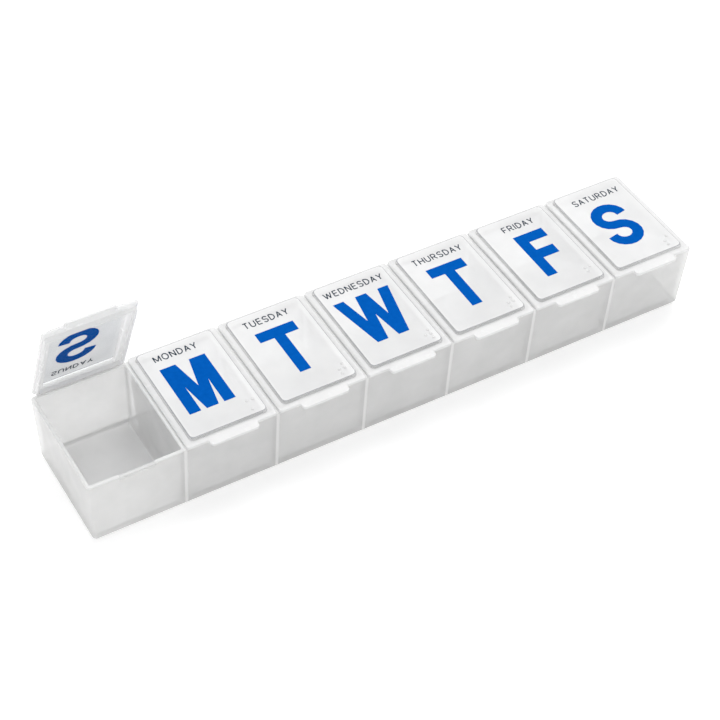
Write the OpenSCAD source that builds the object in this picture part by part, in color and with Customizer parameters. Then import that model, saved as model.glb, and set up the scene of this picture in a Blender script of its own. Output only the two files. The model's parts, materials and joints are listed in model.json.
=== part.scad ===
// Seven-day travel pill organizer: one drafted tray with seven compartments,
// seven lids on living hinges, and the printed initial and name of each day.
// Millimetres, +Z up. The origin is the centre of the tray's flat base,
// +X runs from the first day to the last and -Y is the side with the thumb tabs.

/* [Tray] */
// Distance from one compartment to the next
pitch = 40; // [38:0.5:44]
// Depth of the tray at its rim, front to back
tray_d = 53.4; // [48:0.2:60]
// Height of the tray from its base to its rim
tray_h = 33; // [28:0.5:38]
// Thickness of the outer walls at the rim
wall_t = 1.6; // [1.4:0.1:2]
// Thickness of the dividers at the rim
divider_t = 1.8; // [1.6:0.1:2.2]
// Thickness of the floor
floor_t = 1.6; // [1.2:0.1:2.4]
// How far the front and back walls lean in over the height
draft_y = 1.2; // [0.6:0.1:1.6]
// How far each end wall leans in over the height
draft_x = 1; // [0.6:0.1:1.2]
// Radius of the tray's upright corners
corner_r = 1.6; // [1:0.1:2.4]
// Radius along the tray's bottom edge
base_r = 2.4; // [1.5:0.1:3]

/* [Lids] */
// Opening angle at which the first lid stands
sunday_open = 68; // [0:1:120]
// Gap between one lid and the next
lid_gap = 1.2; // [0.8:0.1:1.6]
// Thickness of the lid's border and panel
lid_t = 1.3; // [1:0.1:1.6]
// How far the raised panel stands above the border
panel_rise = 1.3; // [0.8:0.1:1.6]
// Width of the border around the raised panel
border_w = 2.7; // [2:0.1:3.5]
// Depth of the plug rim that drops into the compartment
plug_h = 1.8; // [1.2:0.1:3]
// Width of the thumb tab
tab_w = 20.8; // [16:0.2:24]
// How far the thumb tab stands out from the lid's front edge
tab_l = 2.8; // [2:0.1:3.6]

/* [Catch] */
// Width of the thumb notch in the rim and of the catch bead below it
catch_w = 15; // [10:0.5:16]
// How far the catch bead stands out
bead_out = 0.4; // [0.3:0.05:0.5]

/* [Print] */
// Cap height of the big initials
initial_h = 26.8; // [22:0.2:28]
// Stroke width of the big initials
initial_w = 4.9; // [4:0.1:5.5]
// Cap height of the day names
name_h = 3.15; // [2.6:0.05:4]
// Thickness of the printed ink
ink_t = 0.1; // [0.08:0.01:0.2]

/* [Hidden] */
DAYS = ["sunday", "monday", "tuesday", "wednesday", "thursday", "friday", "saturday"];
KINDS = ["lid", "hinge", "letter", "name"];
$fn = 48;

count = len(DAYS);
last = count - 1;
DIVIDERS = [for (k = [1 : last]) str("divider_", k)];
// Beyond the end cells so that an end wall is wall_t thick like the others
end_extra = wall_t - divider_t / 2;
tray_w = count * pitch + 2 * end_extra;
front_y = -tray_d / 2;
back_y = tray_d / 2;
overshoot = 1;

// Compartments; the dividers stand join_gap clear of the walls and the floor
join_gap = 0.05;
row_w = count * pitch - divider_t;
cell_w = pitch - divider_t;
cell_d = tray_d - 2 * wall_t;
cell_h = tray_h - floor_t;
cell_draft_x = 0.6;
cell_r = 0.8;

// Thumb notch in the rim and catch bead below it
notch_h = 0.6;
bead_h = 0.9;
bead_drop = 1.7;
bead_z = tray_h - bead_drop;
bead_sunk = 0.3;

// Lids: the flange rests this far above the rim, and its back edge keeps clear of the web
rest_gap = 0.15;
web_gap = 0.15;
overhang = 0.8;
flange_z = tray_h + rest_gap;
lid_front = front_y - overhang;
lid_back = back_y - web_gap;
lid_d = lid_back - lid_front;
lid_mid = (lid_back + lid_front) / 2;
lid_w = pitch - lid_gap;
lid_r = 1.2;
panel_back = 1.6;
panel_w = lid_w - 2 * border_w;
panel_d = lid_d - border_w - panel_back;
panel_mid = lid_mid + (border_w - panel_back) / 2;
panel_r = 1.8;
panel_top = flange_z + lid_t + panel_rise;
plug_clear = 0.45;
plug_t = 1;
plug_r = 1.2;
tab_r = 1.5;
tab_drop = 0.2;

// Living hinge: a thin web on the back face, bending about its own middle
web_t = 0.5;
web_w = 35.6;
web_low = 1;
web_high = 1;
hinge_lift = 0.1;
hinge_y = back_y + web_t / 2;
hinge_z = tray_h + hinge_lift;

// Tactile dots: spherical caps in a cell of two columns and three rows
dot_r = 0.75;
dot_h = 0.45;
dot_pitch = 2.4;
dot_ball_r = (dot_r * dot_r + dot_h * dot_h) / (2 * dot_h);
dots_x = 12.4;
dots_y = front_y + 4.6;
// Dots of each day's initial, counted down the left column and then the right
DOTS = [[2, 3, 4], [1, 3, 4], [2, 3, 4, 5], [2, 4, 5, 6], [2, 3, 4, 5], [1, 2, 4], [2, 3, 4]];

// Print: baselines of the second lid, measured from the front edge of the tray.
// The print creeps towards the front on the lids away from Monday's, and the names outwards.
initial_y = front_y + 13.4;
initial_creep = 0.28;
name_y = front_y + 44.6;
name_creep = 0.3;
name_spread = 0.62;
name_centre = 3.4;
// Offset of each initial's middle from the middle of its lid
INITIAL_X = [-1.8, -1.4, -0.5, -0.2, -0.2, 1.8, -0.6];
name_stroke = 0.15;
name_space = 0.19;
arc_steps = 14;
arc_step = 7.5;

INITIALS = ["S", "M", "T", "W", "T", "F", "S"];
NAMES = ["SUNDAY", "MONDAY", "TUESDAY", "WEDNESDAY", "THURSDAY", "FRIDAY", "SATURDAY"];
TRAY_COLOUR = [0.86, 0.86, 0.85, 0.6];
LID_COLOUR = [0.95, 0.95, 0.95, 0.6];
INITIAL_COLOUR = [0.0, 0.34, 0.74];
NAME_COLOUR = [0.2, 0.27, 0.34];

function cell_x(i) = (i - last / 2) * pitch;
function opening(i) = i == 0 ? sunday_open : 0;
function creep(i, step) = abs(i - 1) * step;
function sum(v, n) = n <= 0 ? 0 : v[n - 1] + sum(v, n - 1);

// ---- plain shapes ----

module rounded_rect(w, d, r) {
    square([w - 2 * r, d], center = true);
    square([w, d - 2 * r], center = true);
    for (sx = [-1, 1])
        for (sy = [-1, 1])
            translate([sx * (w / 2 - r), sy * (d / 2 - r)])
                circle(r);
}

module slab(w, d, r, h) {
    linear_extrude(h)
        rounded_rect(w, d, r);
}

// A block that widens evenly upwards, with size w by d at the bottom
module drafted_block(w, d, r, h, lean_x, lean_y) {
    linear_extrude(h, slices = 1, scale = [1 + 2 * lean_x / w, 1 + 2 * lean_y / d])
        rounded_rect(w, d, r, $fn = 32);
}

// Side view of a block with rounded bottom edges, open and flared above them
module rounded_base_profile(w, r, h) {
    flare = 4;
    polygon(concat(
        [for (a = [270 : arc_step : 360]) [w / 2 - r + r * cos(a), r + r * sin(a)]],
        [[w / 2 + flare, h], [-w / 2 - flare, h]],
        [for (a = [180 : arc_step : 270]) [-w / 2 + r + r * cos(a), r + r * sin(a)]]));
}

// Turns a child with the lid of day i about its hinge
module on_lid(i) {
    translate([cell_x(i), hinge_y, hinge_z])
        rotate([-opening(i), 0, 0])
            translate([0, -hinge_y, -hinge_z])
                children();
}

// ---- tray ----

module tray_outside() {
    base_w = tray_w - 2 * draft_x;
    base_d = tray_d - 2 * draft_y;
    intersection() {
        drafted_block(base_w, base_d, corner_r, tray_h, draft_x, draft_y);
        rotate([90, 0, 0])
            translate([0, 0, -tray_d])
                linear_extrude(2 * tray_d)
                    rounded_base_profile(base_w, base_r, tray_h + overshoot);
        rotate([90, 0, 90])
            translate([0, 0, -tray_w])
                linear_extrude(2 * tray_w)
                    rounded_base_profile(base_d, base_r, tray_h + overshoot);
    }
}

// The hollow that the dividers split into compartments
module row_hollow() {
    reach = (cell_h + overshoot) / cell_h;
    translate([0, 0, floor_t])
        drafted_block(row_w - 2 * cell_draft_x, cell_d - 2 * draft_y, cell_r, cell_h + overshoot,
            cell_draft_x * reach, draft_y * reach);
}

module thumb_notch() {
    translate([-catch_w / 2, front_y - overshoot, tray_h - notch_h])
        cube([catch_w, wall_t + 2 * overshoot, notch_h + overshoot]);
}

module catch_bead() {
    translate([-catch_w / 2, front_y - bead_out, bead_z - bead_h / 2])
        cube([catch_w, bead_out + bead_sunk, bead_h]);
}

module tray() {
    color(TRAY_COLOUR)
        union() {
            difference() {
                tray_outside();
                row_hollow();
                for (i = [0 : last])
                    translate([cell_x(i), 0, 0])
                        thumb_notch();
            }
            for (i = [0 : last])
                translate([cell_x(i), 0, 0])
                    catch_bead();
        }
}

// The divider before compartment k, thinner towards the rim
module divider(k) {
    w = divider_t + 2 * cell_draft_x;
    d = cell_d - 2 * draft_y - 2 * join_gap;
    color(TRAY_COLOUR)
        translate([cell_x(k) - pitch / 2, 0, floor_t + join_gap])
            linear_extrude(cell_h - join_gap, slices = 1, scale = [divider_t / w, 1 + 2 * draft_y / d])
                square([w, d], center = true);
}

// ---- lids ----

module flange() {
    translate([0, lid_mid, flange_z])
        slab(lid_w, lid_d, lid_r, lid_t);
}

module panel_outside() {
    translate([0, panel_mid, flange_z])
        slab(panel_w, panel_d, panel_r, lid_t + panel_rise);
}

module panel_pocket() {
    inner_r = panel_r - lid_t;
    translate([0, panel_mid, flange_z - overshoot])
        slab(panel_w - 2 * lid_t, panel_d - 2 * lid_t, inner_r, panel_rise + overshoot);
}

module plug_rim() {
    w = cell_w - 2 * plug_clear;
    d = cell_d - 2 * plug_clear;
    translate([0, 0, flange_z - plug_h])
        difference() {
            slab(w, d, plug_r, plug_h + lid_t / 2);
            translate([0, 0, -overshoot])
                slab(w - 2 * plug_t, d - 2 * plug_t, plug_r / 2, plug_h + lid_t + 2 * overshoot);
        }
}

module thumb_tab() {
    translate([0, lid_front, flange_z])
        slab(tab_w, 2 * tab_l, tab_r, lid_t - tab_drop);
}

module tactile_dots(marks) {
    for (mark = marks) {
        column = mark > 3 ? 1 : 0;
        row = (mark - 1) % 3;
        translate([dots_x + (column - 0.5) * dot_pitch, dots_y + (2 - row) * dot_pitch, panel_top])
            intersection() {
                translate([0, 0, dot_h - dot_ball_r])
                    sphere(dot_ball_r);
                translate([0, 0, -dot_h])
                    cylinder(r = 2 * dot_r, h = 3 * dot_h);
            }
    }
}

module lid(i) {
    color(LID_COLOUR)
        on_lid(i) {
            difference() {
                union() {
                    flange();
                    panel_outside();
                    thumb_tab();
                }
                panel_pocket();
            }
            plug_rim();
            tactile_dots(DOTS[i]);
        }
}

module hinge_leaf(h) {
    translate([-web_w / 2, -web_t / 2, 0])
        cube([web_w, web_t, h]);
}

module hinge(i) {
    color(LID_COLOUR)
        translate([cell_x(i), hinge_y, hinge_z]) {
            rotate([180, 0, 0])
                hinge_leaf(web_low);
            rotate([0, 90, 0])
                translate([0, 0, -web_w / 2])
                    cylinder(d = web_t, h = web_w);
            rotate([-opening(i), 0, 0])
                hinge_leaf(web_high);
        }
}

// ---- print ----

function arc(cx, cy, rx, ry, from, to) =
    [for (k = [0 : arc_steps]) let (a = from + (to - from) * k / arc_steps)
        [cx + rx * cos(a), cy + ry * sin(a)]];

function without_first(v) = [for (k = [1 : len(v) - 1]) v[k]];

// The two turns of an S about the line x = middle, between the given heights
function s_curve(middle, rx, low, high, top_start, foot_end) =
    let (ry = (high - low) / 4)
    concat(arc(middle, high - ry, rx, ry, top_start, 270),
        without_first(arc(middle, low + ry, rx, ry, 90, foot_end)));

function unit(v) = v / norm(v);
function left_of(v) = [-v[1], v[0]];

// Offset direction at point k of an open path, lengthened so that the stroke keeps its width
function mitre(path, k) =
    let (
        into = unit(path[max(k, 1)] - path[max(k, 1) - 1]),
        out = unit(path[min(k, len(path) - 2) + 1] - path[min(k, len(path) - 2)]),
        middle = unit(into + out)
    ) left_of(middle) / (middle * out);

// A stroke of width w along a path
module stroke(path, w) {
    ends = len(path) - 1;
    polygon(concat(
        [for (k = [0 : ends]) path[k] + mitre(path, k) * w / 2],
        [for (k = [ends : -1 : 0]) path[k] - mitre(path, k) * w / 2]));
}

// Half widths of the big initials, in cap heights
M_HALF = 0.37;
T_HALF = 0.325;
W_HALF = 0.485;
F_HALF = 0.27;
// Heights in the initials, in cap heights
bar_h = 0.2;
f_arm_z = 0.4;
f_arm_out = 0.22;
s_rx = 0.225;
m_leg_z = 0.52;
// Width of the M's shoulder, in strokes
m_shoulder = 1.42;
notch_z = 0.46;
w_low_z = 0.54;
w_foot_x = 0.183;
middle_half = 0.095;

// Closes a right-hand outline with its mirror image; x = 0 holds no repeated point
module both_sides(right) {
    polygon(concat(right, [for (k = [len(right) - 1 : -1 : 0]) if (right[k][0] > 0)
        [-right[k][0], right[k][1]]]));
}

// Right half of an M: from the foot of its middle, round the leg, to the top notch
module m_outline(h, w) {
    side = M_HALF * h;
    both_sides([[middle_half * h, 0], [side - w, m_leg_z * h], [side - w, 0], [side, 0],
        [side, h], [side - m_shoulder * w, h], [0, notch_z * h]]);
}

// Right half of a W: from the lower notch, round the arm, to the top of its middle
module w_outline(h, w) {
    side = W_HALF * h;
    foot = w_foot_x * h;
    both_sides([[0, w_low_z * h], [foot - w / 2, 0], [foot + w / 2, 0], [side, h], [side - w, h],
        [foot, notch_z * h], [middle_half * h, h]]);
}

module initial_outline(c, h, w) {
    bar = bar_h * h;
    if (c == "M")
        m_outline(h, w);
    if (c == "W")
        w_outline(h, w);
    if (c == "T") {
        translate([-T_HALF * h, h - bar])
            square([2 * T_HALF * h, bar]);
        translate([-w / 2, 0])
            square([w, h]);
    }
    if (c == "F") {
        translate([-F_HALF * h, 0])
            square([w, h]);
        translate([-F_HALF * h, h - bar])
            square([2 * F_HALF * h, bar]);
        translate([-F_HALF * h, f_arm_z * h])
            square([(F_HALF + f_arm_out) * h, bar]);
    }
    if (c == "S")
        stroke(s_curve(0, s_rx * h, w / 2, h - w / 2, 0, -180), w);
}

module letter(i) {
    color(INITIAL_COLOUR)
        on_lid(i)
            translate([INITIAL_X[i], initial_y - creep(i, initial_creep), panel_top])
                linear_extrude(ink_t)
                    initial_outline(INITIALS[i], initial_h, initial_w);
}

// Widths of the capitals used in the names, in cap heights
function glyph_w(c) =
    c == "M" ? 0.82 : c == "W" ? 1.04 : c == "I" ? 0 : c == "E" || c == "F" ? 0.54
    : c == "S" || c == "T" ? 0.58 : c == "O" ? 0.76 : 0.64;

function bowl(w, low, high) =
    let (r = (high - low) / 2) concat([[0, high]], arc(w - r, low + r, r, r, 90, -90), [[0, low]]);

// Strokes of a capital of cap height 1 and width w
function glyph(c, w) =
    let (m = w / 2)
    c == "A" ? [[[0, 0], [m, 1]], [[m, 1], [w, 0]], [[0.18 * w, 0.34], [0.82 * w, 0.34]]]
    : c == "D" ? [[[0, 0], [0, 1]], bowl(w, 0, 1)]
    : c == "E" ? [[[0, 0], [0, 1]], [[0, 1], [w, 1]], [[0, 0.52], [0.9 * w, 0.52]], [[0, 0], [w, 0]]]
    : c == "F" ? [[[0, 0], [0, 1]], [[0, 1], [w, 1]], [[0, 0.5], [0.85 * w, 0.5]]]
    : c == "H" ? [[[0, 0], [0, 1]], [[w, 0], [w, 1]], [[0, 0.5], [w, 0.5]]]
    : c == "I" ? [[[0, 0], [0, 1]]]
    : c == "M" ? [[[0, 0], [0, 1]], [[0, 1], [m, 0.1]], [[m, 0.1], [w, 1]], [[w, 1], [w, 0]]]
    : c == "N" ? [[[0, 0], [0, 1]], [[0, 1], [w, 0]], [[w, 0], [w, 1]]]
    : c == "O" ? [arc(m, 0.5, m, 0.5, 90, 270), arc(m, 0.5, m, 0.5, -90, 90)]
    : c == "R" ? [[[0, 0], [0, 1]], bowl(0.9 * w, 0.46, 1), [[0.5 * w, 0.46], [w, 0]]]
    : c == "S" ? [s_curve(m, m, 0, 1, 20, -160)]
    : c == "T" ? [[[0, 1], [w, 1]], [[m, 0], [m, 1]]]
    : c == "U" ? [concat([[0, 1]], arc(m, 0.32, m, 0.32, 180, 360), [[w, 1]])]
    : c == "W" ? [[[0, 1], [0.27 * w, 0]], [[0.27 * w, 0], [m, 0.95]], [[m, 0.95], [0.73 * w, 0]],
        [[0.73 * w, 0], [w, 1]]]
    : [[[0, 1], [m, 0.45]], [[w, 1], [m, 0.45]], [[m, 0], [m, 0.5]]];

module name_outline(word) {
    widths = [for (c = word) glyph_w(c) + name_space + name_stroke];
    total = sum(widths, len(word)) - name_space - name_stroke;
    for (k = [0 : len(word) - 1])
        translate([sum(widths, k) - total / 2, 0])
            for (path = glyph(word[k], glyph_w(word[k])))
                stroke(path, name_stroke);
}

module name_print(i) {
    color(NAME_COLOUR)
        on_lid(i)
            translate([(i - name_centre) * name_spread, name_y - creep(i, name_creep), panel_top])
                linear_extrude(ink_t)
                    scale(name_h)
                        name_outline(NAMES[i]);
}

tray();
for (k = [1 : last]) {
    divider(k);
}
for (i = [0 : last]) {
    lid(i);
    hinge(i);
    letter(i);
    name_print(i);
}
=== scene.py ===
"""Looks of the seven-day travel pill organizer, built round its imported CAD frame.

The tray, the lids and the hinge webs are modelled here with rounded edges; the printed
initials and names are the CAD's own nodes with an ink material. Lengths are in millimetres
until a mesh is finished, and in metres from then on.
"""

import json
import math

import bmesh
import bpy
from mathutils import Matrix, Vector


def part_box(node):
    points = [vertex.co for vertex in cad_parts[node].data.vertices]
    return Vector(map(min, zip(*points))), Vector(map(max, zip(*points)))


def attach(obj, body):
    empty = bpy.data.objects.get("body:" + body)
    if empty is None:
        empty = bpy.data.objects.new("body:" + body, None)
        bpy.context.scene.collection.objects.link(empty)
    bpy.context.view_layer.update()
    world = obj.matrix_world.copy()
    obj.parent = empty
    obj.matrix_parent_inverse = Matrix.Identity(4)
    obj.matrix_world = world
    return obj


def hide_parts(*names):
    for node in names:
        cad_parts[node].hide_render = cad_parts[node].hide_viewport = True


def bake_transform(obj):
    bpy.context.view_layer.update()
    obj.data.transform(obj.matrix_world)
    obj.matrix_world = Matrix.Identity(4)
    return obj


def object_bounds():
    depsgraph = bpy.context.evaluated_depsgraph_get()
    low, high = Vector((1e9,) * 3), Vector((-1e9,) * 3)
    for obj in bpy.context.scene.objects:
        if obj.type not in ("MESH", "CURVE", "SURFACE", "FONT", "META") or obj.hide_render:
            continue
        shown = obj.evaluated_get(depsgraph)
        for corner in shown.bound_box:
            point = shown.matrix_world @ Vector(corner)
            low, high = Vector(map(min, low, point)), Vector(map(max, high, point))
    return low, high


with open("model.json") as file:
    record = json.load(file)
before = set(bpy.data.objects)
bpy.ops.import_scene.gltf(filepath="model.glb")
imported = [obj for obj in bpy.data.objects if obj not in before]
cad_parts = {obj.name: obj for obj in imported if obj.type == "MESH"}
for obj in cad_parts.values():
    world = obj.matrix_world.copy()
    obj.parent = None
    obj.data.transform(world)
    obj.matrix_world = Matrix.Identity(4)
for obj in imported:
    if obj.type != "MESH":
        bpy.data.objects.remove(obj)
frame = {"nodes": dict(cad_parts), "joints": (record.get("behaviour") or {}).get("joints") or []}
cad_low, cad_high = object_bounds()

# ---- dimensions, from the frame ----

MM = 0.001
DAYS = ["sunday", "monday", "tuesday", "wednesday", "thursday", "friday", "saturday"]


def box_mm(node):
    """Lowest and highest corner of a CAD node, in millimetres."""
    low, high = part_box(node)
    return low / MM, high / MM


JOINTS = {joint["name"]: joint for joint in frame["joints"]}
HINGE_Y, HINGE_Z = (JOINTS["monday_hinge"]["pos_m"][k] / MM for k in (1, 2))
CELL_X = [JOINTS[f"{day}_hinge"]["pos_m"][0] / MM for day in DAYS]
OPEN_DEG = [-JOINTS[f"{day}_hinge"]["range_deg"][0] for day in DAYS]
PITCH = CELL_X[1] - CELL_X[0]

# Tray: walls that lean in towards the base, and rounded edges
tray_low, tray_high = box_mm("tray")
TRAY_H = tray_high.z
TRAY_W = tray_high.x - tray_low.x
BACK_Y = tray_high.y
FRONT_Y = -BACK_Y
LEAN_X, LEAN_Y, CELL_LEAN = 1.0, 1.2, 0.6
WALL, DIVIDER, FLOOR = 1.6, 1.8, 1.6
CORNER_R, BASE_R, CELL_R, FLOOR_R, RIM_R = 1.6, 2.4, 0.8, 1.2, 0.35

# Catch: a thumb notch in the rim with a bead on the wall below it, both fading out at the ends
CATCH_W, CATCH_FADE = 15.0, 0.6
NOTCH_DEPTH = 0.6
BEAD_OUT, BEAD_Z, BEAD_HALF = 0.4, TRAY_H - 1.7, 0.45
# The rows of points that end the notch's dip, outside and inside
OUTER_ROW, INNER_ROW = TRAY_H - 1.12, TRAY_H - 1.2

# Lid: a flat border with a thumb tab, a raised panel and a plug rim below
lid_low, lid_high = box_mm("lid_monday")
LID_W = lid_high.x - lid_low.x
LID_T, PANEL_RISE = 1.3, 1.3
INK_Z = box_mm("letter_monday")[0].z
LID_Z = INK_Z - LID_T - PANEL_RISE
# The ink is bedded a hair deep in the panel, so that the two faces never coincide
PANEL_TOP = INK_Z + 0.04
TAB_L, TAB_W, TAB_R, TAB_ROOT = 2.8, 20.8, 1.5, 0.5
LID_FRONT = lid_low.y + TAB_L
LID_BACK = lid_high.y
BORDER, BACK_BORDER = 2.7, 1.6
PLUG_H, PLUG_T, PLUG_CLEAR = 1.8, 1.0, 0.45
EDGE_R, STEP_R, PLUG_R, POCKET_R = 0.35, 0.45, 0.3, 0.5
# The last rows of points round the panel's top, which carry a painted shade line along its edge
PAINTED_SHADE_ROWS = 3
BORDER_CORNER, PANEL_CORNER, PANEL_FOOT, PLUG_CORNER, POCKET_CORNER = 1.2, 1.8, 2.0, 1.3, 1.2

# Hinge web: a strip that bulges outwards in the middle and is bedded in both its ends
WEB_W, WEB_T = 35.6, 0.3
WEB_REACH, WEB_BULGE, WEB_DIP = 0.95, 0.3, 0.75

# Tactile dots: the initial's cell, counted down its left column and then its right
DOTS = [(2, 3, 4), (1, 3, 4), (2, 3, 4, 5), (2, 4, 5, 6), (2, 3, 4, 5), (1, 2, 4), (2, 3, 4)]
DOT_R, DOT_H, DOT_PITCH, DOTS_X, DOTS_Y = 0.75, 0.45, 2.4, 12.4, 4.6
# A dot's outline as (radius, height) shares, from its sunk foot to its crown
DOT_OUTLINE = [(1.08, -0.1), (1.08, 0), (0.97, 0.05), (0.85, 0.35), (0.6, 0.7), (0.3, 0.94), (0.1, 1)]
DOT_SIDES = 20

# Points along a quarter circle of an outline, and extra points along a cell's or lid's side
CORNER_STEPS = 6
SIDE_STEPS = [-18, -10, 0, 10, 18]


# ---- mesh helpers ----

def ring(x0, x1, y0, y1, radii, z, edge_x=(), edge_y=()):
    """Points round a level rectangle with rounded corners, from its front left corner.

    radii go front left, front right, back right, back left. edge_x and edge_y add points
    along the sides, so that rings with the same edges can be skinned to each other.
    """
    corners = [(x0, y0, 1, 1), (x1, y0, -1, 1), (x1, y1, -1, -1), (x0, y1, 1, -1)]
    sides = [
        [(x, y0) for x in edge_x],
        [(x1, y) for y in edge_y],
        [(x, y1) for x in reversed(edge_x)],
        [(x0, y) for y in reversed(edge_y)],
    ]
    points = []
    for k, (x, y, inward_x, inward_y) in enumerate(corners):
        r = radii[k]
        middle_x, middle_y = x + inward_x * r, y + inward_y * r
        for s in range(CORNER_STEPS + 1):
            angle = math.radians(180 + 90 * k + 90 * s / CORNER_STEPS)
            points.append((middle_x + r * math.cos(angle), middle_y + r * math.sin(angle), z))
        points += [(px, py, z) for px, py in sides[k]]
    return points


def skin(bm, loops, keep=None):
    """Joins each loop of points to the next with quads; keep(a, b) may drop a stretch."""
    rows = [[bm.verts.new(p) for p in loop] for loop in loops]
    for lower, upper in zip(rows, rows[1:]):
        for j in range(len(lower)):
            k = (j + 1) % len(lower)
            if keep is None or keep(lower[j].co, lower[k].co):
                bm.faces.new((lower[j], lower[k], upper[k], upper[j]))
    return rows


def fillet(radius, steps, start, end):
    """(across, along) pairs on a quarter circle between two angles in degrees."""
    angles = [math.radians(start + (end - start) * s / steps) for s in range(steps + 1)]
    return [(radius * math.cos(a), radius * math.sin(a)) for a in angles]


def smooth(value, low, high):
    """0 below low, 1 above high, and a smooth rise between."""
    t = max(0.0, min(1.0, (value - low) / (high - low)))
    return t * t * (3 - 2 * t)


def finish_mesh(bm, name, sharp_deg=35):
    """Welds, orients and shades a mesh drawn in millimetres, and makes its object."""
    bmesh.ops.remove_doubles(bm, verts=bm.verts, dist=1e-4)
    bmesh.ops.dissolve_degenerate(bm, edges=bm.edges, dist=1e-5)
    bmesh.ops.recalc_face_normals(bm, faces=bm.faces)
    bmesh.ops.scale(bm, vec=(MM, MM, MM), verts=bm.verts)
    for face in bm.faces:
        face.smooth = True
    for edge in bm.edges:
        if len(edge.link_faces) == 2:
            edge.smooth = edge.calc_face_angle(0) < math.radians(sharp_deg)
    mesh = bpy.data.meshes.new(name)
    bm.to_mesh(mesh)
    bm.free()
    piece = bpy.data.objects.new(name, mesh)
    bpy.context.scene.collection.objects.link(piece)
    return piece


def place(piece, body, slot_name, materials, *replaced):
    """Gives a piece its materials and its body, and hides the CAD nodes it stands for; slot_name is
    not used.
    """
    for material in materials:
        piece.data.materials.append(material)
    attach(piece, body)
    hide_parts(*replaced)


def open_matrix(i):
    """Turns lid i from closed to how it stands at rest, in millimetres."""
    hinge = Matrix.Translation((CELL_X[i], HINGE_Y, HINGE_Z))
    return hinge @ Matrix.Rotation(-math.radians(OPEN_DEG[i]), 4, "X") @ hinge.inverted()


# ---- material helpers ----

def node_material(name):
    """A new material, its node tree and its Principled shader."""
    material = bpy.data.materials.new(name)
    material.use_nodes = True
    return material, material.node_tree, material.node_tree.nodes["Principled BSDF"]


def noise(tree, scale, detail=3.0, roughness=0.5):
    """A noise texture in object coordinates, metres times scale."""
    coords = tree.nodes.new("ShaderNodeTexCoord")
    texture = tree.nodes.new("ShaderNodeTexNoise")
    texture.inputs["Scale"].default_value = scale
    texture.inputs["Detail"].default_value = detail
    texture.inputs["Roughness"].default_value = roughness
    tree.links.new(coords.outputs["Object"], texture.inputs["Vector"])
    return texture.outputs["Fac"]


def remap(tree, value, low, high, start=0.3, end=0.7):
    """value from start..end turned into low..high."""
    node = tree.nodes.new("ShaderNodeMapRange")
    node.inputs["From Min"].default_value = start
    node.inputs["From Max"].default_value = end
    node.inputs["To Min"].default_value = low
    node.inputs["To Max"].default_value = high
    tree.links.new(value, node.inputs["Value"])
    return node.outputs["Result"]


def tint(tree, value, first, second):
    """A colour between two, by value."""
    node = tree.nodes.new("ShaderNodeMix")
    node.data_type = "RGBA"
    node.inputs["A"].default_value = (*first, 1)
    node.inputs["B"].default_value = (*second, 1)
    tree.links.new(value, node.inputs["Factor"])
    return node.outputs["Result"]


def bump(tree, shader, height, strength, distance):
    """Raises a shader's surface by a height pattern."""
    node = tree.nodes.new("ShaderNodeBump")
    node.inputs["Strength"].default_value = strength
    node.inputs["Distance"].default_value = distance
    tree.links.new(height, node.inputs["Height"])
    tree.links.new(node.outputs["Normal"], shader.inputs["Normal"])


def math_node(tree, operation, first, second=None):
    """A Math node on one or two values, each a socket or a number."""
    node = tree.nodes.new("ShaderNodeMath")
    node.operation = operation
    for k, value in enumerate((first, second)):
        if isinstance(value, (int, float)):
            node.inputs[k].default_value = value
        elif value is not None:
            tree.links.new(value, node.inputs[k])
    return node.outputs["Value"]


# ---- materials ----

# Scales of the plastic's patterns: drifting colour, drifting haze, satin patches and fine grain
CLOUD, VEIL, SATIN, GRAIN = 90, 60, 260, 700
GRAIN_DEPTH = 0.00005
VEIL_DRIFT = 0.03
POLYPROPYLENE_IOR = 1.49
FILM_SHARE = 0.02

# How dense the tray's haze is at its backing, and where the backing fades out, in millimetres
DIVIDER_VEIL, FLOOR_VEIL, RIM_VEIL = 0.8, 1, 0.7
DIVIDER_FADE = (0.4, 1.8)
FLOOR_FADE = (0.8 * FLOOR, 1.8 * FLOOR)
RIM_FADE = (TRAY_H - 1.0, TRAY_H - 0.3)

# Scales of the ink's patterns: mottled colour, uneven film and the mesh's fine tooth
MOTTLE, FILM, TOOTH = 500, 900, 2200
FILM_DRIFT = 0.08
TOOTH_DEPTH = 0.00003


def satin(tree, shader, rough):
    """Gives a shader patches that vary between two roughnesses."""
    patches = remap(tree, noise(tree, SATIN, 5, 0.6), *rough)
    tree.links.new(patches, shader.inputs["Roughness"])


def polypropylene(name, first, second, alpha, rough, grain, solid=None):
    """Moulded polypropylene: a white haze that lets part of what lies behind it through.

    first and second are its colours, alpha is how dense the haze is, rough is a pair, and
    solid(tree) may give a mask where the haze is denser.
    """
    material, tree, shader = node_material(name)
    cloud = remap(tree, noise(tree, CLOUD, 4), 0, 1)
    tree.links.new(tint(tree, cloud, first, second), shader.inputs["Base Color"])
    satin(tree, shader, rough)
    veil = remap(tree, noise(tree, VEIL, 3), alpha - VEIL_DRIFT, alpha + VEIL_DRIFT)
    if solid:
        veil = math_node(tree, "MAXIMUM", veil, solid(tree))
    tree.links.new(veil, shader.inputs["Alpha"])
    shader.inputs["IOR"].default_value = POLYPROPYLENE_IOR
    bump(tree, shader, noise(tree, GRAIN, 3, 0.6), grain, GRAIN_DEPTH)
    return material


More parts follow.
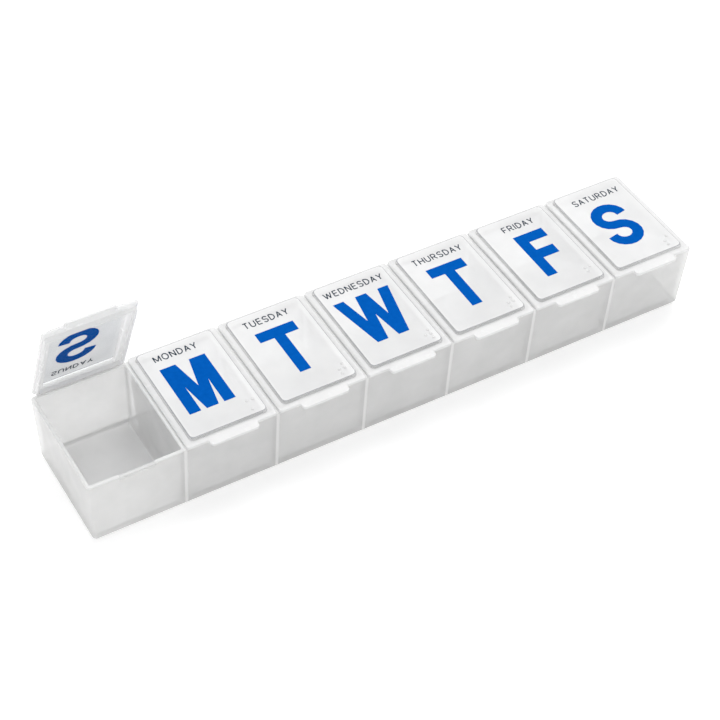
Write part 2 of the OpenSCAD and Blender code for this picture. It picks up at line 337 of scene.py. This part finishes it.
def clear_plastic(name, first, second, rough):
    """Polished polypropylene: a faint satin film over a clear body tinted by its colours."""
    material, tree, shader = node_material(name)
    cloud = remap(tree, noise(tree, CLOUD, 4), 0, 1)
    satin(tree, shader, rough)
    body = tree.nodes.new("ShaderNodeBsdfTransparent")
    tree.links.new(tint(tree, cloud, first, second), body.inputs["Color"])
    mix = tree.nodes.new("ShaderNodeMixShader")
    mix.inputs["Fac"].default_value = FILM_SHARE
    tree.links.new(body.outputs["BSDF"], mix.inputs[1])
    tree.links.new(shader.outputs["BSDF"], mix.inputs[2])
    tree.links.new(mix.outputs["Shader"], tree.nodes["Material Output"].inputs["Surface"])
    return material


def backed(tree):
    """A mask of the tray's wall: above 0 where a divider, the floor or the rim backs it."""
    coords = tree.nodes.new("ShaderNodeTexCoord")
    split = tree.nodes.new("ShaderNodeSeparateXYZ")
    tree.links.new(coords.outputs["Object"], split.inputs["Vector"])
    x, z = split.outputs["X"], split.outputs["Z"]

    # The dividers stand at odd half pitches from the middle, and the end walls don't count
    cell = math_node(tree, "FRACT", math_node(tree, "DIVIDE", x, PITCH * MM))
    off = math_node(tree, "ABSOLUTE", math_node(tree, "SUBTRACT", cell, 0.5))
    divider = remap(tree, off, DIVIDER_VEIL, 0, *(edge / PITCH for edge in DIVIDER_FADE))
    short_of_ends = (len(DAYS) / 2 - 0.3) * PITCH * MM
    inner = math_node(tree, "LESS_THAN", math_node(tree, "ABSOLUTE", x), short_of_ends)
    divider = math_node(tree, "MULTIPLY", divider, inner)

    floor = remap(tree, z, FLOOR_VEIL, 0, *(edge * MM for edge in FLOOR_FADE))
    rim = remap(tree, z, 0, RIM_VEIL, *(edge * MM for edge in RIM_FADE))
    return math_node(tree, "MAXIMUM", math_node(tree, "MAXIMUM", divider, floor), rim)


def ink(name, first, second, rough):
    """Screen-printed ink: even colour with fine mottling and a slightly uneven film."""
    material, tree, shader = node_material(name)
    mottle = remap(tree, noise(tree, MOTTLE, 4), 0, 1)
    tree.links.new(tint(tree, mottle, first, second), shader.inputs["Base Color"])
    film = remap(tree, noise(tree, FILM, 3), rough - FILM_DRIFT, rough + FILM_DRIFT)
    tree.links.new(film, shader.inputs["Roughness"])
    bump(tree, shader, noise(tree, TOOTH, 2), 0.15, TOOTH_DEPTH)
    shader.inputs["Specular IOR Level"].default_value = 0.0
    return material


TRAY_PLASTIC = polypropylene(
    "tray_plastic", (0.905, 0.905, 0.90), (0.965, 0.965, 0.96),
    alpha=0.5, rough=(0.36, 0.5), grain=0.25, solid=backed,
)
LID_PLASTIC = polypropylene(
    "lid_plastic", (0.95, 0.95, 0.955), (0.98, 0.98, 0.98),
    alpha=0.6, rough=(0.2, 0.3), grain=0.12,
)
PANEL_PLASTIC = polypropylene(
    "lid_panel", (0.96, 0.96, 0.965), (0.99, 0.99, 0.99),
    alpha=0.68, rough=(0.16, 0.26), grain=0.08,
)
# Painted shade: a grey tint on the panel's clear underside, darkening the lid seen from below and what
# shows through it
SHADE_TINTED_CEILING = clear_plastic(
    "lid_ceiling_shade_tinted", (0.82, 0.83, 0.84), (0.86, 0.87, 0.88), rough=(0.16, 0.26),
)
SIDE_PLASTIC = polypropylene(
    "lid_side", (0.97, 0.97, 0.975), (0.99, 0.99, 0.99),
    alpha=0.22, rough=(0.2, 0.3), grain=0.05,
)
# Painted shade: dark grey on the panel's rounded top edge, for the line the clear step shows by
# refraction
PAINTED_EDGE_SHADE = polypropylene(
    "lid_painted_edge_shade", (0.44, 0.45, 0.47), (0.52, 0.53, 0.55),
    alpha=0.6, rough=(0.1, 0.16), grain=0.05,
)
BLUE_INK = ink("blue_ink", (0.001, 0.097, 0.45), (0.002, 0.112, 0.50), 0.4)
GREY_INK = ink("grey_ink", (0.03, 0.045, 0.065), (0.05, 0.065, 0.09), 0.45)

# The lid's own materials, and the places of the last four among them
LID_LAYERS = [LID_PLASTIC, SHADE_TINTED_CEILING, PANEL_PLASTIC, PAINTED_EDGE_SHADE, SIDE_PLASTIC]
CEILING_LAYER, PANEL_LAYER, PAINTED_SHADE_LAYER, SIDE_LAYER = 1, 2, 3, 4


# ---- tray ----

# Points along a cell's front and back: the catch's ends get five each, for their fade
CATCH_END = [-CATCH_W / 2 + s * CATCH_FADE / 2 for s in (-2, -1, 0, 1, 2)]
LEFT_STEPS = [-13, -10] + CATCH_END + [-4]
EDGE_STEPS = LEFT_STEPS + [0] + [-x for x in reversed(LEFT_STEPS)]


def inner_ring(i, z, outset):
    """The compartment's wall at height z, moved outwards by outset."""
    rise = (z - FLOOR) / (TRAY_H - FLOOR)
    half_x = (PITCH - DIVIDER) / 2 - CELL_LEAN * (1 - rise) + outset
    half_y = BACK_Y - WALL - LEAN_Y * (1 - rise) + outset
    radii = [max(CELL_R + outset, 0.3)] * 4
    edge_x = [CELL_X[i] + x for x in EDGE_STEPS]
    return ring(CELL_X[i] - half_x, CELL_X[i] + half_x, -half_y, half_y, radii, z, edge_x, SIDE_STEPS)


def outer_ring(i, z, inset):
    """The part of the tray's outline that belongs to cell i, moved inwards by inset."""
    lean = 1 - z / TRAY_H
    first, last = i == 0, i == len(DAYS) - 1
    end = TRAY_W / 2 - LEAN_X * lean - inset
    x0 = -end if first else CELL_X[i] - PITCH / 2
    x1 = end if last else CELL_X[i] + PITCH / 2
    y1 = BACK_Y - LEAN_Y * lean - inset
    left, right = (CORNER_R - inset if flag else 0.0 for flag in (first, last))
    edge_x = [CELL_X[i] + x for x in EDGE_STEPS]
    return ring(x0, x1, -y1, y1, [left, right, right, left], z, edge_x, SIDE_STEPS)


def on_seam(a, b):
    """True where both points lie on a plane between two cells."""
    for i in range(len(DAYS) - 1):
        seam = CELL_X[i] + PITCH / 2
        if abs(a.x - seam) < 1e-3 and abs(b.x - seam) < 1e-3:
            return True
    return False


def shape_catch(v, centre):
    """Dips the rim to the thumb notch and swells the wall to the catch bead below it."""
    ends = CATCH_W / 2
    middle = 1 - smooth(abs(v.co.x - centre), ends - CATCH_FADE, ends + CATCH_FADE)
    behind_front_wall = v.co.y > FRONT_Y + WALL + 1
    if behind_front_wall or middle == 0:
        return
    on_rim = v.co.z > TRAY_H - RIM_R - 0.01
    if on_rim:
        v.co.z -= NOTCH_DEPTH * middle
    off = (v.co.z - BEAD_Z) / BEAD_HALF
    on_outside = v.co.y < FRONT_Y + 0.5
    if abs(off) < 1 and on_outside:
        v.co.y -= BEAD_OUT * middle * math.sqrt(1 - off * off)


def build_tray():
    """The whole tray as one closed shell, cell by cell."""
    bm = bmesh.new()
    bead_rows = [BEAD_Z + BEAD_HALF * s for s in (-1, -0.8, -0.4, 0, 0.4, 0.8, 1)]
    wall_rows = [OUTER_ROW] + bead_rows[::-1] + [TRAY_H / 2, BASE_R]
    rim_z = TRAY_H - RIM_R
    for i, centre in enumerate(CELL_X):
        inside = [
            inner_ring(i, FLOOR + FLOOR_R - up, -(FLOOR_R - out))
            for out, up in fillet(FLOOR_R, 5, 90, 0)
        ]
        inside += [inner_ring(i, z, 0) for z in (TRAY_H / 2, INNER_ROW)]
        inside += [inner_ring(i, rim_z + up, RIM_R - out) for out, up in fillet(RIM_R, 4, 0, 90)]
        outside = [outer_ring(i, rim_z + up, RIM_R - out) for out, up in fillet(RIM_R, 4, 90, 0)]
        rim_top = outside[:1]
        outside += [outer_ring(i, z, 0) for z in wall_rows]
        outside += [
            outer_ring(i, BASE_R - up, BASE_R - out)
            for out, up in fillet(BASE_R, 6, 0, 90)[1:]
        ]
        before = len(bm.verts)
        rows = skin(bm, inside + rim_top)
        bm.faces.new(rows[0])
        rows = skin(bm, outside, keep=lambda a, b: not on_seam(a, b))
        bm.faces.new(rows[-1])
        bm.verts.ensure_lookup_table()
        for v in bm.verts[before:]:
            shape_catch(v, centre)
    return finish_mesh(bm, "tray_shell")


# ---- lids ----

def tab_profile():
    """(offset from the lid's middle, distance out) along the front edge, left half to right.

    Each end of the tab leaves the edge in a small root and turns into the tab's corner.
    """
    end = -TAB_W / 2
    left = [(end - TAB_ROOT - 3, 0), (end - TAB_ROOT, 0), (end - 0.15, 0.12), (end, TAB_ROOT)]
    for s in range(CORNER_STEPS + 1):
        a = math.radians(90 * s / CORNER_STEPS)
        left.append((end + TAB_R * (1 - math.cos(a)), TAB_L - TAB_R * (1 - math.sin(a))))
    left.append((-4, TAB_L))
    return left + [(0, TAB_L)] + [(-x, out) for x, out in reversed(left)]


TAB = tab_profile()


def lid_ring(i, half_x, y0, y1, radius, z, tab=0.0):
    """A ring of lid i; tab is how far the front edge follows the thumb tab, from 0 to 1."""
    # A short edge squeezes the tab's points together, so that they stay between its corners
    reach = min(1.0, (half_x - radius - 0.3) / -TAB[0][0])
    edge_x = [CELL_X[i] + x * reach for x, _ in TAB]
    x0, x1 = CELL_X[i] - half_x, CELL_X[i] + half_x
    points = ring(x0, x1, y0, y1, [radius] * 4, z, edge_x, SIDE_STEPS)
    for k, (_, out) in enumerate(TAB, start=CORNER_STEPS + 1):
        x, y, _ = points[k]
        points[k] = (x, y - out * tab, z)
    return points


def border(i, inset, z):
    """The border's outline with its thumb tab, moved inwards by inset."""
    front, back = LID_FRONT + inset, LID_BACK - inset
    return lid_ring(i, LID_W / 2 - inset, front, back, BORDER_CORNER - inset * 0.5, z, 1.0)


def panel(i, inset, z, radius):
    """The raised panel's outline, moved inwards by inset."""
    front, back = LID_FRONT + BORDER, LID_BACK - BACK_BORDER
    middle, half_y = (front + back) / 2, (back - front) / 2 - inset
    return lid_ring(i, LID_W / 2 - BORDER - inset, middle - half_y, middle + half_y, radius, z)


def plug(i, inset, z):
    """The plug rim's outline, moved inwards by inset."""
    half_x = (PITCH - DIVIDER) / 2 - PLUG_CLEAR - inset
    half_y = BACK_Y - WALL - PLUG_CLEAR - inset
    return lid_ring(i, half_x, -half_y, half_y, PLUG_CORNER - inset * 0.5, z)


def build_lid(i):
    """One lid as a closed shell from the pocket's ceiling round to the panel's top."""
    under, over = LID_Z, LID_Z + LID_T
    pocket_z, plug_z = PANEL_TOP - LID_T - POCKET_R, under - PLUG_H + PLUG_R
    step_z, pocket, corner = PANEL_TOP - STEP_R, LID_T + POCKET_R, POCKET_CORNER

    underside = [
        panel(i, pocket - out, pocket_z + up, corner)
        for out, up in fillet(POCKET_R, 3, 90, 0)
    ]
    underside += [
        panel(i, LID_T - EDGE_R + out, under + EDGE_R - up, corner)
        for out, up in fillet(EDGE_R, 3, 0, 90)
    ]
    underside += [plug(i, PLUG_T, under)]
    underside += [plug(i, PLUG_T - PLUG_R + out, plug_z - up) for out, up in fillet(PLUG_R, 3, 0, 90)]
    underside += [plug(i, PLUG_R - out, plug_z - up) for out, up in fillet(PLUG_R, 3, 90, 0)]
    underside += [plug(i, 0, under)]

    rim = [border(i, EDGE_R - out, under + EDGE_R - up) for out, up in fillet(EDGE_R, 3, 90, 0)]
    rim += [border(i, EDGE_R - out, over - EDGE_R + up) for out, up in fillet(EDGE_R, 3, 0, 90)]

    side = [panel(i, -STEP_R / 2, over, PANEL_FOOT), panel(i, 0, over + STEP_R / 2, PANEL_CORNER)]
    side += [panel(i, STEP_R - out, step_z + up, PANEL_CORNER) for out, up in fillet(STEP_R, 4, 0, 90)]

    bm = bmesh.new()
    rows = skin(bm, underside + rim + side)
    ceiling, top = bm.faces.new(rows[0]), bm.faces.new(rows[-1])
    side_points = {v for row in rows[-len(side):] for v in row}
    painted_shade_points = {v for row in rows[-PAINTED_SHADE_ROWS:] for v in row}
    # The panel's rounded top edge gets the painted dark shade line, the rest of the step the clearer
    # side plastic
    for face in bm.faces:
        if all(v in side_points for v in face.verts):
            in_painted_shade = all(v in painted_shade_points for v in face.verts)
            face.material_index = PAINTED_SHADE_LAYER if in_painted_shade else SIDE_LAYER
    ceiling.material_index, top.material_index = CEILING_LAYER, PANEL_LAYER
    bmesh.ops.transform(bm, matrix=open_matrix(i), verts=bm.verts)
    return finish_mesh(bm, f"lid_shell_{DAYS[i]}")


def build_dots(i):
    """The raised tactile dots near the front right corner of a lid."""
    bm = bmesh.new()
    turn = [math.radians(360 * k / DOT_SIDES) for k in range(DOT_SIDES)]
    for mark in DOTS[i]:
        column, row = (0.5 if mark > 3 else -0.5), (mark - 1) % 3
        x = CELL_X[i] + DOTS_X + column * DOT_PITCH
        y = FRONT_Y + DOTS_Y + (2 - row) * DOT_PITCH
        loops = []
        for radius, height in DOT_OUTLINE:
            r, z = DOT_R * radius, PANEL_TOP + DOT_H * height
            loops.append([(x + r * math.cos(a), y + r * math.sin(a), z) for a in turn])
        rows = skin(bm, loops)
        bm.faces.new(rows[0])
        bm.faces.new(rows[-1])
    bmesh.ops.transform(bm, matrix=open_matrix(i), verts=bm.verts)
    return finish_mesh(bm, f"tactile_dots_{DAYS[i]}")


# ---- hinge webs ----

def web_section(turn):
    """Both faces of a web's section as (y, z) from the hinge line, bent by turn radians."""
    faces = ([], [])
    steps = 12
    for s in range(steps + 1):
        t = s / steps
        angle = -smooth(t, 0, 1) * turn
        cos, sin = math.cos(angle), math.sin(angle)
        z = -WEB_REACH + 2 * WEB_REACH * t
        bulge = WEB_BULGE - WEB_DIP * abs(2 * t - 1) ** 3
        for face, y in zip(faces, (bulge, bulge - WEB_T)):
            face.append((y * cos - z * sin, y * sin + z * cos))
    outer, inner = faces
    return outer + inner[::-1]


def build_web(i):
    """A thin strip from the tray's back face over the hinge line to the lid's back edge."""
    bm = bmesh.new()
    section = web_section(math.radians(OPEN_DEG[i]))
    across = [CELL_X[i] + WEB_W * (k / 8 - 0.5) for k in range(9)]
    rows = skin(bm, [[(x, HINGE_Y + y, HINGE_Z + z) for y, z in section] for x in across])
    bm.faces.new(rows[0])
    bm.faces.new(rows[-1])
    return finish_mesh(bm, f"hinge_web_{DAYS[i]}", 50)


def join_web(i, day):
    """Gives a web its look and bends it between the tray and its lid."""
    web = build_web(i)
    web.data.materials.append(LID_PLASTIC)
    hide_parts(f"hinge_{day}")
    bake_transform(web)


def print_ink(node, material):
    """Gives a printed CAD node its ink."""
    layers = frame["nodes"][node].data.materials
    layers.clear()
    layers.append(material)


# ---- assembly ----

dividers = [f"divider_{k}" for k in range(1, len(DAYS))]
place(build_tray(), "tray", "tray_plastic", [TRAY_PLASTIC], "tray", *dividers)
for index, day in enumerate(DAYS):
    lid = f"lid_{day}"
    place(build_lid(index), lid, "lid_plastic", LID_LAYERS, lid)
    place(build_dots(index), lid, "lid_plastic", [PANEL_PLASTIC], lid)
    join_web(index, day)
    print_ink(f"letter_{day}", BLUE_INK)
    print_ink(f"name_{day}", GREY_INK)


# ---- floor, light and camera ----

# The floor lies a hair under the base, so that the two faces never coincide
FLOOR_SIZE, FLOOR_DROP = 3000, 0.05
FLOOR_GLOW = 0.25
# The point that the camera looks at, in metres: x from the object's middle, y and z in the frame
AIM = (-0.0090, -0.0032, 0.0166)


def build_floor():
    """A wide pale sheet just under the organizer, glowing a little like a light table."""
    bm = bmesh.new()
    bmesh.ops.create_grid(bm, x_segments=8, y_segments=8, size=FLOOR_SIZE)
    bmesh.ops.translate(bm, verts=bm.verts, vec=(0, 0, -FLOOR_DROP))
    floor = finish_mesh(bm, "floor")
    material, tree, shader = node_material("floor_paper")
    mottle = remap(tree, noise(tree, 6, 3), 0, 1)
    paper = tint(tree, mottle, (0.93, 0.93, 0.93), (0.95, 0.95, 0.95))
    tree.links.new(paper, shader.inputs["Base Color"])
    shader.inputs["Roughness"].default_value = 0.9
    shader.inputs["Emission Color"].default_value = (1, 1, 1, 1)
    shader.inputs["Emission Strength"].default_value = FLOOR_GLOW
    floor.data.materials.append(material)


def direction(azimuth, elevation):
    """A unit vector away from the organizer, from angles in degrees; azimuth 0 is -Y."""
    a, e = math.radians(azimuth), math.radians(elevation)
    return Vector((math.sin(a) * math.cos(e), -math.cos(a) * math.cos(e), math.sin(e)))


def softbox(name, azimuth, elevation, distance, size, power):
    """A square area light aimed at the organizer."""
    data = bpy.data.lights.new(name, "AREA")
    data.size = size
    data.energy = power
    light = bpy.data.objects.new(name, data)
    back = direction(azimuth, elevation)
    light.location = back * distance
    light.rotation_euler = (-back).to_track_quat("-Z", "Y").to_euler()
    bpy.context.scene.collection.objects.link(light)


def build_world(horizon, overhead):
    """A white surround, brightest overhead like a ceiling of softboxes."""
    world = bpy.data.worlds.new("studio")
    world.use_nodes = True
    tree = world.node_tree
    coords = tree.nodes.new("ShaderNodeTexCoord")
    split = tree.nodes.new("ShaderNodeSeparateXYZ")
    tree.links.new(coords.outputs["Generated"], split.inputs["Vector"])
    strength = remap(tree, split.outputs["Z"], horizon, overhead, 0.0, 1.0)
    background = tree.nodes["Background"]
    background.inputs["Color"].default_value = (1, 1, 1, 1)
    tree.links.new(strength, background.inputs["Strength"])
    bpy.context.scene.world = world


def build_camera(azimuth, elevation, roll, distance, lens):
    """Looks down along the row from its first end, with a small roll; angles in degrees."""
    aim_x, aim_y, aim_z = AIM
    target = Vector(((cad_low.x + cad_high.x) / 2 + aim_x, aim_y, aim_z))
    back = direction(azimuth, elevation)
    data = bpy.data.cameras.new("camera")
    data.lens = lens
    data.sensor_width = 36
    camera = bpy.data.objects.new("camera", data)
    upright = (-back).to_track_quat("-Z", "Y")
    camera.rotation_mode = "QUATERNION"
    tilt = Matrix.Rotation(math.radians(roll), 3, "Z").to_quaternion()
    camera.rotation_quaternion = upright @ tilt
    camera.location = target + back * distance
    bpy.context.scene.collection.objects.link(camera)
    bpy.context.scene.camera = camera


build_floor()
build_world(horizon=0.08, overhead=1.12)
softbox("key", azimuth=148, elevation=62, distance=1.5, size=1.2, power=9)
softbox("side", azimuth=-100, elevation=40, distance=1.5, size=1.0, power=0.5)
build_camera(azimuth=-32.21, elevation=45.74, roll=2.73, distance=0.7696, lens=93.6)
bpy.context.scene.view_settings.view_transform = "Standard"
